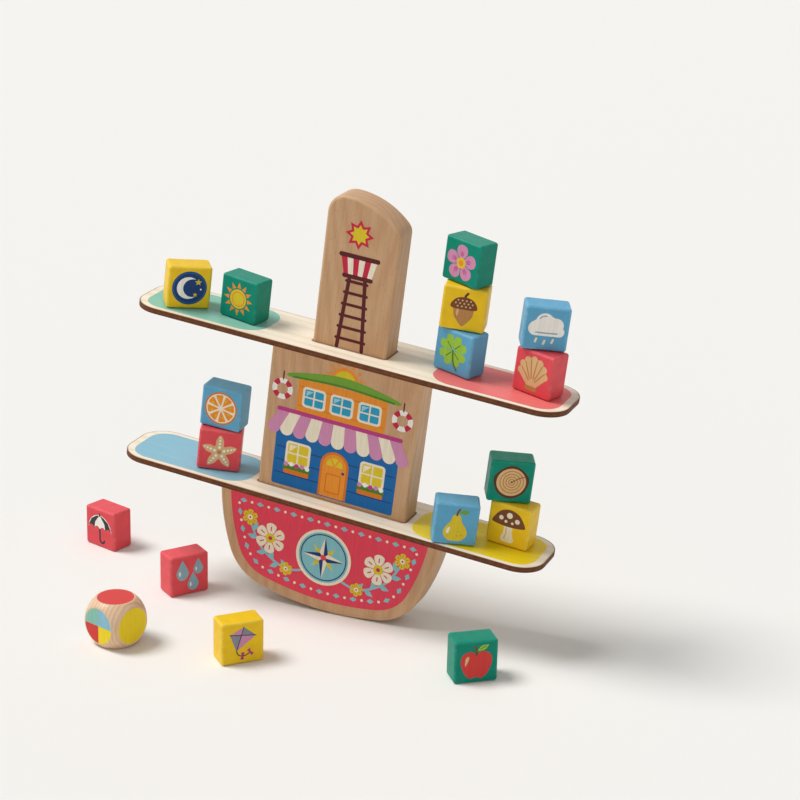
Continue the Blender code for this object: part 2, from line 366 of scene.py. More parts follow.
def soft(knots, steps=7):
    """A smooth closed line through knots (x, y), with a corner at each knot that has a third entry."""
    points = []
    spots = [Vector(knot[:2]) for knot in knots]
    ahead = spots[1:] + spots[:1]
    reach = []
    for i, knot in enumerate(knots):
        reach.append((ahead[i] - spots[i - 1]) / 6 if len(knot) == 2 else Vector((0, 0)))
    for here, there, leave, arrive in zip(spots, ahead, reach, reach[1:] + reach[:1]):
        run = interpolate_bezier(here, here + leave, there - arrive, there, steps + 1)
        points += [point[:2] for point in run[:-1]]
    return points


def both_sides(*half):
    """A smooth closed line through its right half's knots, from top to bottom, and their mirror images."""
    left = [(-knot[0], *knot[1:]) for knot in reversed(half) if abs(knot[0]) > NEAR]
    return soft([*half, *left])


def on_side(side, outline):
    """An outline as it is drawn, or mirrored where side is -1."""
    return [(side * x, y) for x, y in outline]


def trail(knots, steps=7):
    """A smooth open line through knots."""
    closed = soft([(*knots[0], 1), *knots[1:-1], (*knots[-1], 1)], steps)
    return closed[:(len(knots) - 1) * steps + 1]


def even_steps(path, count):
    """The ends of a path's equal parts, each with the path's heading there."""
    places = []
    travelled = 0.0
    slack = 0.001
    line = [Vector(point) for point in path]
    runs = [(before, after - before) for before, after in zip(line, line[1:])]
    step = sum(run.length for _, run in runs) / count
    for before, run in runs:
        while len(places) * step < travelled + run.length + slack:
            point = before + run * (len(places) * step - travelled) / run.length
            places.append((*point, heading(run)))
        travelled += run.length
    return places


def ribbon(path, width, steps=6):
    """A stroke of even width along a path, with round ends."""
    line = [Vector(point) for point in path]
    sides = []
    for before, after in zip(line[:1] + line, line[1:] + line[-1:]):
        ahead = after - before
        sides.append(Vector((-ahead.y, ahead.x)).normalized() * width / 2)
    left = [(point + side)[:] for point, side in zip(line, sides)]
    right = [(point - side)[:] for point, side in zip(line, sides)]
    start = heading(sides[0])
    end = heading(-sides[-1])
    first = bow(*line[0], width / 2, start, start + 180, steps)[1:-1]
    last = bow(*line[-1], width / 2, end, end + 180, steps)[1:-1]
    return left[::-1] + first + right + last


def moved(outline, x, y, turn=0.0, scale=1.0):
    """An outline turned about its origin, scaled and moved."""
    along = scale * cos(radians(turn))
    across = scale * sin(radians(turn))
    return [(x + px * along - py * across, y + px * across + py * along) for px, py in outline]


# Solids from outlines

def of_kind(geometry, kind):
    return [item for item in geometry if isinstance(item, kind)]


def fill(solid, outlines, level):
    """Fill an outline at a level, with any further outlines as holes in it."""
    edges = []
    for outline in outlines:
        ring = [solid.verts.new((x, y, level)) for x, y in outline]
        edges += [solid.edges.new(pair) for pair in zip(ring, ring[1:] + ring[:1])]
    filled = bmesh.ops.triangle_fill(solid, edges=edges, use_beauty=True, normal=(0, 0, 1))
    return of_kind(filled["geom"], BMFace)


def thicken(solid, faces, height):
    """Raise flat faces to a plate."""
    raised = bmesh.ops.extrude_face_region(solid, geom=faces)
    bmesh.ops.translate(solid, verts=of_kind(raised["geom"], BMVert), vec=(0, 0, height))


def round_edges(solid, edges, radius, segments):
    bmesh.ops.bevel(solid, geom=edges, offset=radius, offset_type="OFFSET", segments=segments, profile=0.5,
                    affect="EDGES", material=-1)


def round_rims(solid, radius, segments):
    """Round a plate's edges, above and below."""
    bmesh.ops.recalc_face_normals(solid, faces=solid.faces)
    rims = []
    for edge in solid.edges:
        start, end = edge.verts
        beside_wall = any(abs(face.normal.z) < NEAR for face in edge.link_faces)
        if beside_wall and abs(start.co.z - end.co.z) < NEAR:
            rims.append(edge)
    round_edges(solid, rims, radius, segments)


class PrintSheet:
    """Ink shapes drawn flat in millimetres. Each is a thin plate, and a higher layer covers a lower one."""

    def __init__(self, grain=GRAIN_UP):
        self.solid = bmesh.new()
        self.grain = grain
        self.inks = []

    def add(self, ink_name, layer, *outlines):
        """Print an outline, with any further outlines as holes in it."""
        if ink_name not in self.inks:
            self.inks.append(ink_name)
        faces = fill(self.solid, outlines, -INK_SINK)
        for face in faces:
            face.material_index = self.inks.index(ink_name)
        thicken(self.solid, faces, INK_SINK + INK_LIFT + layer * INK_STEP)

    def add_round(self, ink_name, layer, outline, count, x=0.0, y=0.0, start=0.0, scale=1.0):
        """Print copies of an outline, turned evenly round a centre."""
        for i in range(count):
            self.add(ink_name, layer, moved(outline, x, y, start + 360 * i / count, scale))

    def fit(self, size):
        """Centre the shapes and bring them to a size across."""
        across = [vertex.co.x for vertex in self.solid.verts]
        up = [vertex.co.y for vertex in self.solid.verts]
        middle = Vector((min(across) + max(across), min(up) + max(up), 0)) / 2
        scale = size / max(max(across) - min(across), max(up) - min(up))
        bmesh.ops.translate(self.solid, vec=-middle, verts=self.solid.verts)
        bmesh.ops.scale(self.solid, vec=(scale, scale, 1), verts=self.solid.verts)

    def finish(self, name, lay, place, body, slot):
        """Lay the sheet on its piece and put it in the piece's place."""
        bmesh.ops.recalc_face_normals(self.solid, faces=self.solid.faces)
        bmesh.ops.transform(self.solid, matrix=lay, verts=self.solid.verts)
        materials = [ink(entry, self.grain) for entry in self.inks]
        put_in_place(name, self.solid, place, body, materials)


def lay_on_front(depth):
    """From a flat sheet to the front of an upright piece of that depth."""
    return Matrix.Translation((0, -depth / 2, 0)) @ Matrix.Rotation(pi / 2, 4, "X")


# Places of the pieces

def place_matrix(right, back, up, origin):
    """From a piece's own millimetres to metres in the frame."""
    turn = Matrix((right, back, up)).transposed().to_4x4()
    return Matrix.Translation(origin) @ turn @ Matrix.Scale(METRES, 4)


def flats_of(node):
    """The six largest flat faces of a node, each with its area in square millimetres and its normal."""
    areas = {}
    for face in frame["nodes"][node].data.polygons:
        key = tuple(round(value, 2) for value in face.normal)
        area, normal = areas.get(key, (0.0, face.normal.copy()))
        areas[key] = (area + face.area / METRES ** 2, normal)
    return sorted(areas.values(), key=lambda entry: entry[0], reverse=True)[:6]


def box_place(node):
    """The place of a block or the die, from the flat faces of its node. Its front is the largest flat
    that faces forward, or of two alike the one that faces forward most."""
    square_within = 0.1
    forward_past = 0.05
    flats = flats_of(node)
    up = max((normal for area, normal in flats), key=lambda normal: normal.z)
    walls = [entry for entry in flats if abs(entry[1].dot(up)) < square_within]
    forward = [entry for entry in walls if -entry[1].y > forward_past]
    front = max(forward, key=lambda entry: (round(entry[0], -1), -entry[1].y))[1]
    low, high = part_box(node)
    return place_matrix(up.cross(front), -front, up, (low + high) / 2)


def boat_places():
    """The places of the leaning board, measured from its keel, and of each deck, from its middle."""
    lift = next(joint for joint in frame["joints"] if joint["child"] == "upper_deck")
    up = Vector(lift["axis"]).normalized()
    back = Vector((0, 1, 0))
    right = back.cross(up)
    places = {}
    for deck in ("lower_deck", "upper_deck"):
        low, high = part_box(deck)
        places[deck] = place_matrix(right, back, up, (low + high) / 2)
    keel = places["lower_deck"].translation - up * LOWER_DECK_MIDDLE * METRES
    places["board"] = place_matrix(right, back, up, keel)
    return places


def add_object(name, data):
    made = bpy.data.objects.new(name, data)
    bpy.context.scene.collection.objects.link(made)
    return made


def put_in_place(name, solid, place, body, materials):
    """Make a modelled solid a piece: keep its own place for the patterns, move it and let it ride."""
    mesh = bpy.data.meshes.new(name)
    solid.to_mesh(mesh)
    solid.free()
    own = mesh.attributes.new(OWN, "FLOAT_VECTOR", "POINT")
    own.data.foreach_set("vector", [value for vertex in mesh.vertices for value in vertex.co])
    mesh.transform(place)
    for material in materials:
        mesh.materials.append(material)
    piece = add_object(name, mesh)
    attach(piece, body)
    return piece


def stand_for(node, name, solid, place, materials):
    """Make a solid the piece that stands for a node, whose body has the same name. It is shaded smooth,
    and its large flat faces stay flat."""
    piece = put_in_place(name, solid, place, node, materials)
    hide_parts(node)
    piece.data.shade_smooth()
    piece.data.set_sharp_from_angle(angle=radians(SHARP_ANGLE))
    flattening = piece.modifiers.new("flat_faces", "WEIGHTED_NORMAL")
    flattening.keep_sharp = True


# The board

def hull_side(inset=0.0):
    """Right side of the hull from keel to shoulder, or a line that keeps an even distance inside it: a
    rocker arc, a bilge arc and a flare arc that run into each other."""
    rocker = Vector((0, ROCKER_RADIUS))
    shoulder = Vector((HULL_WIDTH / 2, HULL_HEIGHT))
    outward = Vector((cos(radians(FLARE_ANGLE)), -sin(radians(FLARE_ANGLE))))
    flare = shoulder - FLARE_RADIUS * outward
    rocker_reach = ROCKER_RADIUS - BILGE_RADIUS
    flare_reach = FLARE_RADIUS - BILGE_RADIUS
    span = flare - rocker
    along = (rocker_reach ** 2 - flare_reach ** 2 + span.length_squared) / (2 * span.length)
    across = sqrt(rocker_reach ** 2 - along ** 2)
    direction = span.normalized()
    bilge = rocker + along * direction + across * Vector((-direction.y, direction.x))
    bilge_start = heading(bilge - rocker)
    bilge_end = heading(bilge - flare)
    # The CAD rocker has a flat every ROCKER_FLAT degrees, and the smooth arc touches their middles
    floor_radius = ROCKER_RADIUS * cos(radians(ROCKER_FLAT / 2))
    points = bow(*rocker, floor_radius - inset, -90, bilge_start, 16)[1:-1]
    points += bow(*bilge, BILGE_RADIUS - inset, bilge_start, bilge_end, 18)
    points += bow(*flare, FLARE_RADIUS - inset, bilge_end, -FLARE_ANGLE, 16)[1:]
    return points


def mast_crown():
    """The mast's top from right to left: a small round corner, one long arc and a large round corner."""
    half = MAST_WIDTH / 2
    radius = ((half + CROWN_SHIFT) ** 2 + CROWN_DROP ** 2) / (2 * CROWN_DROP)
    centre = Vector((-CROWN_SHIFT, MAST_TOP - radius))
    corners = []
    for side, corner in ((1, CROWN_RIGHT_CORNER), (-1, CROWN_LEFT_CORNER)):
        x = side * (half - corner)
        rise = sqrt((radius - corner) ** 2 - (x - centre.x) ** 2)
        corners.append(Vector((x, centre.y + rise)))
    right, left = corners
    start = heading(right - centre)
    end = heading(left - centre)
    points = bow(*right, CROWN_RIGHT_CORNER, 0, start, 10)
    points += bow(*centre, radius, start, end, 32)[1:]
    points += bow(*left, CROWN_LEFT_CORNER, end, 180, 10)[1:]
    return points


def board_outline():
    cabin = CABIN_WIDTH / 2
    right = hull_side() + [(cabin, HULL_HEIGHT), (cabin, CABIN_TOP), (MAST_WIDTH / 2, CABIN_TOP)]
    return right + mast_crown() + on_side(-1, right[::-1])


def make_board(place):
    """The plank: its outline is drawn lying down, given its thickness, rounded at its rims and stood up."""
    half = BOARD_THICKNESS / 2
    solid = bmesh.new()
    back = solid.faces.new([solid.verts.new((x, y, -half)) for x, y in board_outline()])
    thicken(solid, [back], BOARD_THICKNESS)
    round_rims(solid, BOARD_RIM, 5)
    rim = solid.verts.layers.float.new(RIM)
    for vertex in solid.verts:
        vertex[rim] = float(half - BOARD_RIM + NEAR < abs(vertex.co.z) < half - NEAR)
    bmesh.ops.rotate(solid, matrix=Matrix.Rotation(pi / 2, 3, "X"), verts=solid.verts)
    stand_for("board", "beech_board", solid, place, [make_beech()])


# The decks

def make_deck(name, board_width, place, materials):
    """A slotted plank with slightly broken edges and a narrow border that the laser has browned. The
    slot's corners are as round as the board's edges."""
    edge_break = 0.25
    halo_width = 1.1
    plank = rounded_box(0, 0, DECK_LENGTH, DECK_DEPTH, DECK_CORNER, steps=14)
    slot = rounded_box(0, 0, board_width + 2 * SLOT_CLEARANCE, BOARD_THICKNESS + 2 * SLOT_CLEARANCE,
                       BOARD_RIM + SLOT_CLEARANCE)
    solid = bmesh.new()
    thicken(solid, fill(solid, (plank, slot), -DECK_THICKNESS / 2), DECK_THICKNESS)
    round_rims(solid, edge_break, 2)
    veneers = [face for face in solid.faces if abs(face.normal.z) > UPRIGHT]
    bmesh.ops.inset_region(solid, faces=veneers, thickness=halo_width, use_even_offset=True,
                           use_boundary=True)
    rim = solid.verts.layers.float.new(RIM)
    for vertex in solid.verts:
        vertex[rim] = 1.0
    for face in veneers:
        for vertex in face.verts:
            vertex[rim] = 0.0
    for face in solid.faces:
        face.material_index = 0 if abs(face.normal.z) > UPRIGHT else 1
    stand_for(name, name + "_plank", solid, place, materials)


def make_pads(name, place, left_ink, right_ink):
    """The painted pads at a deck's ends, inside a bare border."""
    end_border = 5.0
    side_border = 3.6
    tip_corner = 12.0
    start_corner = 14.0
    start = 51.0
    tip = DECK_LENGTH / 2 - end_border
    depth = DECK_DEPTH - 2 * side_border
    pad = rounded_box((start + tip) / 2, 0, tip - start, depth, tip_corner, start_corner, 14)
    lay = Matrix.Translation((0, 0, DECK_THICKNESS / 2))
    for word, side, ink_name in (("left", -1, left_ink), ("right", 1, right_ink)):
        sheet = PrintSheet(GRAIN_ALONG_DECK)
        sheet.add(ink_name, 0, on_side(side, pad))
        sheet.finish(f"{name}_{word}_pad", lay, place, name, "birch_plywood")


# The blocks

def make_block_solid():
    solid = bmesh.new()
    bmesh.ops.create_cube(solid, size=1)
    bmesh.ops.scale(solid, vec=(BLOCK_SIZE, BLOCK_DEPTH, BLOCK_SIZE), verts=solid.verts)
    round_edges(solid, solid.edges[:], BLOCK_ROUNDING, 5)
    rim = solid.verts.layers.float.new(RIM)
    half = (BLOCK_SIZE / 2, BLOCK_DEPTH / 2, BLOCK_SIZE / 2)
    for vertex in solid.verts:
        on_a_face = any(abs(abs(value) - limit) < NEAR for value, limit in zip(vertex.co, half))
        vertex[rim] = 0.0 if on_a_face else 1.0
    return solid


def draw_moon(sheet):
    sheet.add("navy", 0, circle(0, 0, 9.0))
    sheet.add("marine", 1, circle(0, 0, 8.5), circle(0, 0, 8.0))
    sheet.add("white", 1, bow(-0.6, 0, 5.9, 52, 308, 40) + bow(1.6, 0, 4.85, 286, 74, 30))
    sheet.add("lemon", 1, star(4.4, 3.2, 1.9, 0.85, 5))
    sheet.add("lemon", 1, star(3.2, -3.6, 1.3, 0.6, 5))
    sheet.add("white", 1, circle(5.9, -0.6, 0.45))


def draw_sun(sheet):
    sheet.add_round("orange", 0, [(6.0, -1.25), (9.4, 0), (6.0, 1.25)], 12)
    sheet.add("lemon", 0, circle(0, 0, 5.3))
    sheet.add("orange", 1, circle(0, 0, 4.2), circle(0, 0, 3.6))


def draw_clover(sheet):
    leaf = both_sides((0, 7.2), (2.2, 8.8), (4.7, 7.2), (4.1, 4.3), (0, 0.5, 1))
    sheet.add_round("lime", 0, leaf, 4, 0, 0.8, 45)
    sheet.add_round("moss", 1, ribbon([(0, 1.6), (0, 5.6)], 0.55), 4, 0, 0.8, 45)
    sheet.add("moss", 1, ribbon(trail([(0, 0.6), (0.5, -3.6), (1.6, -6.8), (3.6, -9.4)]), 1.1))


def draw_acorn(sheet):
    nut = both_sides((0, 1.6, 1), (5.6, 1.6, 1), (5.2, -2.6), (2.8, -6.4), (0, -9.2, 1))
    sheet.add("ochre", 0, nut)
    sheet.add("tan", 1, soft([(-3.6, 0.4), (-2.6, 0.2), (-2.9, -3.4), (-3.9, -2.2)]))
    sheet.add("brown", 1, both_sides((0, 7.6), (4.6, 6.4), (7.2, 3.0), (6.4, 0.9), (0, 0.6)))
    for row, count in enumerate((4, 5, 4)):
        for i in range(count):
            sheet.add("tan", 2, circle((i - (count - 1) / 2) * 2.3, 2.2 + 1.7 * row, 0.5, 14))
    sheet.add("bark", 0, ribbon([(0, 7.0), (0.4, 8.6), (1.4, 9.8)], 1.3))


def draw_flower(sheet):
    petal = both_sides((0, 9.2), (2.6, 8.2), (3.3, 5.4), (1.6, 2.6), (0, 1.4))
    sheet.add_round("rose", 0, petal, 5)
    for side in (-0.9, 0, 0.9):
        vein = [(side * 0.6, 3.6), (side, 6.2 - 0.7 * abs(side))]
        sheet.add_round("magenta", 1, ribbon(vein, 0.4), 5)
    sheet.add("lemon", 2, circle(0, 0, 2.7))
    sheet.add("orange", 3, circle(0, 0, 1.5))


def draw_shell(sheet):
    lobes = 7
    spread = 180 / (lobes - 1)
    hinge = Vector((0, -5.6))
    rim = []
    for i, tip in enumerate(bow(0, 0.6, 6.9, 0, 180, lobes - 1)):
        rim += bow(*tip, 1.85, spread * i - 75, spread * i + 75, 8)
    sheet.add("tan", 0, [(-2.4, -6.4), (2.4, -6.4)] + rim)
    for notch in bow(0, 0.6, 6.9, spread / 2, 180 - spread / 2, lobes - 2):
        sheet.add("ochre", 1, ribbon([hinge.lerp(Vector(notch), 0.28), notch], 0.6))
    sheet.add("ochre", 1, rounded_box(0, -7.2, 7.0, 2.4, 1.1))


def draw_cloud(sheet):
    puffs = bow(-5.4, -1.4, 3.9, 262, 118) + bow(-1.3, 2.3, 4.5, 168, 40)
    puffs += bow(4.5, 0.6, 3.9, 100, -18) + bow(6.6, -2.7, 2.6, 42, -90, 12)
    sheet.add("white", 0, puffs)
    sheet.add("slate", 1, ribbon([(-5.2, -3.6), (0, -3.7), (5.6, -3.6)], 0.7))
    sheet.add("slate", 1, ribbon(bow(-1.3, 2.3, 3.0, 150, 80, 8), 0.6))
    for x, y in ((-4.4, -6.9), (-0.2, -7.8), (4.0, -6.9)):
        sheet.add("cream", 0, ribbon([(x, y), (x - 0.5, y - 1.7)], 1.1))


def draw_starfish(sheet):
    arms = []
    for i in range(5):
        for turn, radius in ((0, 9.3), (17, 6.6), (36, 3.9), (55, 6.6)):
            arms += moved([(0, radius)], 0, 0, 72 * i + turn)
    sheet.add("tan", 0, soft(arms))
    for reach, size in ((2.6, 0.75), (4.6, 0.65), (6.4, 0.52), (7.9, 0.4)):
        sheet.add_round("white", 1, circle(0, reach, size, 16), 5)
    sheet.add("ochre", 1, circle(0, 0, 1.1, 20))


def draw_orange_slice(sheet):
    sheet.add("deep_orange", 0, circle(0, 0, 9.2))
    sheet.add("cream", 1, circle(0, 0, 8.3))
    wedge = [(1.3, 0, 1), (6.9, -2.0), (7.5, 0), (6.9, 2.0)]
    gleam = [(0.9 * x, 0.3 * y) for x, y in circle(0, 0, 1, 14)]
    sheet.add_round("orange", 2, soft(wedge), 8, start=10)
    sheet.add_round("lemon", 3, moved(gleam, 5.2, 0.6, 11.46), 8, start=10)


def draw_pear(sheet):
    body = both_sides((0, 6.4), (2.1, 5.4), (2.9, 2.4), (5.6, -1.6), (6.2, -5.0), (3.6, -8.3), (0, -8.8))
    sheet.add("lemon", 0, body)
    sheet.add("white", 1, soft([(-3.9, -1.6), (-2.9, -1.2), (-3.5, -4.6), (-4.7, -4.0)]))
    sheet.add("brown", 1, ribbon([(0, 6.0), (0.3, 7.8), (1.2, 9.4)], 1.0))
    sheet.add("grass", 0, soft([(0.7, 7.4, 1), (3.0, 9.2), (6.4, 8.6, 1), (4.2, 6.6)]))
    for x, y in ((2.0, -3.2), (3.4, -5.2), (1.2, -5.9)):
        sheet.add("ochre", 1, circle(x, y, 0.35, 12))


def draw_mushroom(sheet):
    stalk = both_sides((0, 1.0, 1), (2.4, 1.0, 1), (2.3, -3.6), (3.6, -7.6), (2.6, -8.9), (0, -9.0))
    sheet.add("cream", 0, stalk)
    sheet.add("tan", 1, ribbon([(-1.0, -1.4), (-0.8, -4.4), (-1.5, -7.2)], 0.6))
    sheet.add("brown", 1, both_sides((0, 8.8), (5.2, 7.0), (8.8, 1.8), (7.6, 0.2), (0, -0.6)))
    for x, y, size in ((0, 5.6, 1.6), (-4.3, 3.6, 1.2), (4.4, 3.4, 1.3), (-1.6, 2.1, 0.8), (1.9, 1.8, 0.7)):
        sheet.add("cream", 2, circle(x, y, size, 24))


def draw_log_slice(sheet):
    angles = [tau * i / 20 for i in range(20)]
    bark = [(9.2 * cos(angle) * (1 + 0.03 * sin(5 * angle)), 9.0 * sin(angle) * (1 + 0.03 * cos(4 * angle)))
            for angle in angles]
    sheet.add("bark", 0, soft(bark))
    sheet.add("tan", 1, circle(0, 0, 7.7))
    for radius in (6.1, 4.5, 3.0, 1.6):
        sheet.add("ochre", 2, circle(0.25, 0.1, radius + 0.28), circle(0.25, 0.1, radius - 0.28))
    sheet.add("brown", 2, circle(0.25, 0.1, 0.6, 16))
    sheet.add("brown", 3, ribbon([(0.8, 0.5), (4.2, 2.6), (7.2, 3.8)], 0.45))


def draw_umbrella(sheet):
    scallops = []
    for i in range(4):
        scallops += bow(-6.6 + 4.4 * i, 0.2, 2.2, 180, 0, 10)[:-1]
    scallops.append((8.8, 0.2))
    sheet.add("white", 0, scallops + bow(0, 0.2, 8.8, 0, 180, 30)[1:-1])
    panel = [(4.4, 0.3), (3.6, 4.6), (0.4, 8.7), (2.6, 8.3), (6.4, 5.9), (8.3, 2.4)]
    for side in (-1, 1):
        sheet.add("charcoal", 1, on_side(side, panel + bow(6.6, 0.2, 2.2, 30, 160, 10)))
    sheet.add("charcoal", 2, ribbon([(0, 8.6), (0, 9.9)], 0.9))
    sheet.add("charcoal", 1, ribbon([(0, 0.7), (0, -4.8)] + bow(1.7, -5.0, 1.7, 190, 350, 10), 1.2))


def draw_raindrops(sheet):
    drop = both_sides((0, 5.2, 1), (2.3, 0.9), (3.1, -1.6), (1.9, -4.1), (0, -4.8))
    gleam = soft([(-1.7, -0.6), (-1.0, -0.4), (-1.1, -2.6), (-1.8, -2.0)])
    for x, y, size in ((-3.9, 2.2, 1.0), (4.1, 3.2, 0.78), (1.4, -3.8, 0.9)):
        sheet.add("slate", 0, moved(drop, x, y, 0, size))
        sheet.add("white", 1, moved(gleam, x, y, 0, size))


def draw_kite(sheet):
    corners = [(2.0, 9.6), (9.4, 3.4), (-2.6, -5.4), (-6.6, 5.4)]
    top, right, foot, left = corners
    middle = (0.92, 4.46)
    for i, corner in enumerate(corners):
        sheet.add("rose" if i % 2 else "grey", i % 2, [middle, corner, corners[(i + 1) % 4]])
    sheet.add("charcoal", 2, ribbon([top, foot], 0.5))
    sheet.add("charcoal", 3, ribbon([left, middle, right], 0.5))
    tail = trail([foot, (-1.2, -8.0), (2.4, -8.8), (6.0, -6.8)])
    sheet.add("charcoal", 4, ribbon(tail, 0.6))
    bow_tie = [(-0.4, 0), (-1.2, 2.2), (1.2, 2.2), (0.4, 0), (1.2, -2.2), (-1.2, -2.2)]
    for x, y, turn in even_steps(tail, 2)[1:]:
        sheet.add("magenta", 5, moved(bow_tie, x, y, turn))


def draw_apple(sheet):
    body = both_sides((0, 4.4), (2.6, 5.9), (6.6, 4.4), (7.6, 0.2), (5.6, -5.4), (2.6, -8.0), (0, -7.2))
    sheet.add("red", 0, body)
    sheet.add("tan", 1, soft([(-5.2, 2.4), (-3.6, 3.4), (-3.9, 1.2), (-5.4, -1.4)]))
    sheet.add("brown", 2, ribbon([(0, 4.0), (0.1, 6.4), (-0.8, 8.4)], 1.0))
    sheet.add("lime", 1, soft([(0.4, 6.0, 1), (2.4, 8.6), (6.0, 9.0, 1), (4.2, 6.6)]))
    sheet.add("moss", 2, ribbon([(1.8, 6.9), (4.6, 8.3)], 0.4))


# Each colour's paint, on the faces and along the edges, and its blocks' pictures
BLOCKS = {
    "yellow": ("#f6ca20", "#fbe480", (draw_moon, draw_acorn, draw_mushroom, draw_kite)),
    "green": ("#038a72", "#45ae97", (draw_sun, draw_flower, draw_log_slice, draw_apple)),
    "blue": ("#63abd0", "#9dd0e8", (draw_clover, draw_cloud, draw_orange_slice, draw_pear)),
    "red": ("#e8525a", "#f28a8d", (draw_shell, draw_starfish, draw_umbrella, draw_raindrops)),
}


def make_blocks():
    for colour, (face_hex, edge_hex, pictures) in BLOCKS.items():
        paint = make_block_paint(colour, face_hex, edge_hex)
        slot = colour + "_paint"
        for number, draw in enumerate(pictures, 1):
            node = f"block_{colour}_{number}"
            place = box_place(node)
            stand_for(node, node + "_painted", make_block_solid(), place, [paint])
            sheet = PrintSheet()
            draw(sheet)
            sheet.fit(PICTURE_SIZE)
            sheet.finish(node + "_picture", lay_on_front(BLOCK_DEPTH), place, node, slot)


# The colour die: each side's word, its tilt and yaw from the top, and its colours

DIE_QUARTERS = ("pad_blue", "sage", "red", "sunny")
DIE_SIDES = (("top", 0, 0, ["red"]), ("front", 90, 0, DIE_QUARTERS), ("right", 90, 90, ["sunny"]),
             ("back", 90, 180, ["sage"]), ("left", 90, 270, ["pad_blue"]), ("under", 180, 0, DIE_QUARTERS))


def die_turn(tilt, yaw):
    return Matrix.Rotation(radians(yaw), 4, "Z") @ Matrix.Rotation(radians(tilt), 4, "X")


def make_die_solid(flat_radius, edge_break):
    """A ball with six flats: one flat and the ball around it as far as the next sides, turned six ways."""
    segments = 64
    rings = 6
    radius = DIE_BALL / 2
    solid = bmesh.new()
    bmesh.ops.create_circle(solid, cap_ends=True, segments=segments, radius=flat_radius)
    bmesh.ops.translate(solid, vec=(0, 0, DIE_SIZE / 2), verts=solid.verts)
    rim = solid.edges[:]
    tilt_in = asin(flat_radius / radius)
    for ring in range(1, rings + 1):
        grown = bmesh.ops.extrude_edge_only(solid, edges=rim)["geom"]
        rim = of_kind(grown, BMEdge)
        for vertex in of_kind(grown, BMVert):
            outward = Vector((vertex.co.x, vertex.co.y)).normalized()
            tilt_out = atan(1 / max(abs(outward.x), abs(outward.y)))
            tilt = tilt_in + (tilt_out - tilt_in) * ring / rings
            vertex.co = radius * Vector((*(outward * sin(tilt)), cos(tilt)))
    side = solid.verts[:] + solid.edges[:] + solid.faces[:]
    for word, tilt, yaw, colours in DIE_SIDES[1:]:
        copied = bmesh.ops.duplicate(solid, geom=side)["geom"]
        bmesh.ops.transform(solid, matrix=die_turn(tilt, yaw), verts=of_kind(copied, BMVert))
    bmesh.ops.remove_doubles(solid, verts=solid.verts, dist=NEAR)
    bmesh.ops.recalc_face_normals(solid, faces=solid.faces)
    flats = [face for face in solid.faces if len(face.verts) == segments]
    round_edges(solid, [edge for face in flats for edge in face.edges], edge_break, 3)
    return solid


def make_die():
    """The turned die, with a painted disc on each flat."""
    edge_break = 0.4
    paint_border = 0.7
    half_gap = 0.5
    node = "colour_die"
    slot = "turned_maple"
    place = box_place(node)
    flat_radius = sqrt((DIE_BALL / 2) ** 2 - (DIE_SIZE / 2) ** 2)
    stand_for(node, "turned_die", make_die_solid(flat_radius, edge_break), place, [make_maple()])
    disc = flat_radius - paint_border
    for word, tilt, yaw, colours in DIE_SIDES:
        sheet = PrintSheet()
        for i, colour in enumerate(colours):
            quarter = slice_of(0, 0, 0, disc, 90 * i + half_gap, 90 * i + 90 - half_gap)
            sheet.add(colour, 0, quarter if len(colours) > 1 else circle(0, 0, disc, 64))
        lay = die_turn(tilt, yaw) @ Matrix.Translation((0, 0, DIE_SIZE / 2))
        sheet.finish(f"die_{word}_disc", lay, place, node, slot)


# The prints on the board's front, drawn in the board's own x and height

def below(line, height):
    """The part of a rising line under a height, ending at that height."""
    kept = [point for point in line if point[1] < height]
    x, y = kept[-1]
    next_x, next_y = line[len(kept)]
    return kept + [(x + (next_x - x) * (height - y) / (next_y - y), height)]


def draw_compass(sheet, x, y, size):
    """A medallion with a compass star."""
    sheet.add("sky", 3, circle(x, y, size * 0.95, 64))
    sheet.add("cream", 4, circle(x, y, size, 64), circle(x, y, size * 0.9, 64))
    sheet.add("navy", 4, circle(x, y, size * 0.84, 64), circle(x, y, size * 0.8, 64))
    sheet.add("lemon", 4, star(x, y, size * 0.58, size * 0.155, 4, 45))
    for side, layer, ink_name in ((1, 5, "navy"), (-1, 6, "cream")):
        blade = [(0, 0), (side * 0.15, 0.15), (0, 0.78)]
        sheet.add_round(ink_name, layer, blade, 4, x, y, 0, size)
    sheet.add("coral", 7, circle(x, y, size * 0.1, 24))


def draw_bloom(sheet, x, y, size, petal_ink, heart_ink):
    """A folk flower of six petals."""
    petal = both_sides((0, 1.0), (0.31, 0.86), (0.27, 0.52), (0, 0.2))
    sheet.add_round(petal_ink, 4, petal, 6, x, y, 0, size)
    sheet.add_round("deep_coral", 5, ribbon([(0, 0.5), (0, 0.74)], 0.07), 6, x, y, 0, size)
    sheet.add(heart_ink, 5, circle(x, y, size * 0.32, 28))
    sheet.add("deep_coral", 6, circle(x, y, size * 0.13, 20))


def draw_spray(sheet, side):
    """A leafy vine with flowers, from the medallion out to one side of the hull."""
    vine = trail([(13.0, 22.4), (22.0, 20.2), (32.0, 23.8), (41.0, 31.0), (47.6, 43.0)])
    sheet.add("sky", 2, ribbon(on_side(side, vine), 1.3))
    sheet.add("sky", 3, ribbon(on_side(side, [(31.0, 23.0), (33.6, 30.0)]), 1.3))
    leaf = soft([(0, 0, 1), (2.8, 1.5), (6.2, 0, 1), (2.8, -1.5)])
    for i, (x, y, turn) in enumerate(even_steps(vine, 9)[2:-1]):
        lean = -48 if i % 2 else 48
        sheet.add("sky", 1, on_side(side, moved(leaf, x, y, turn + lean)))
    draw_bloom(sheet, side * 34.4, 36.6, 9.6, "cream", "lemon")
    draw_bloom(sheet, side * 48.4, 46.2, 5.0, "lemon", "cream")
    draw_bloom(sheet, side * 22.6, 20.2, 4.2, "lemon", "cream")


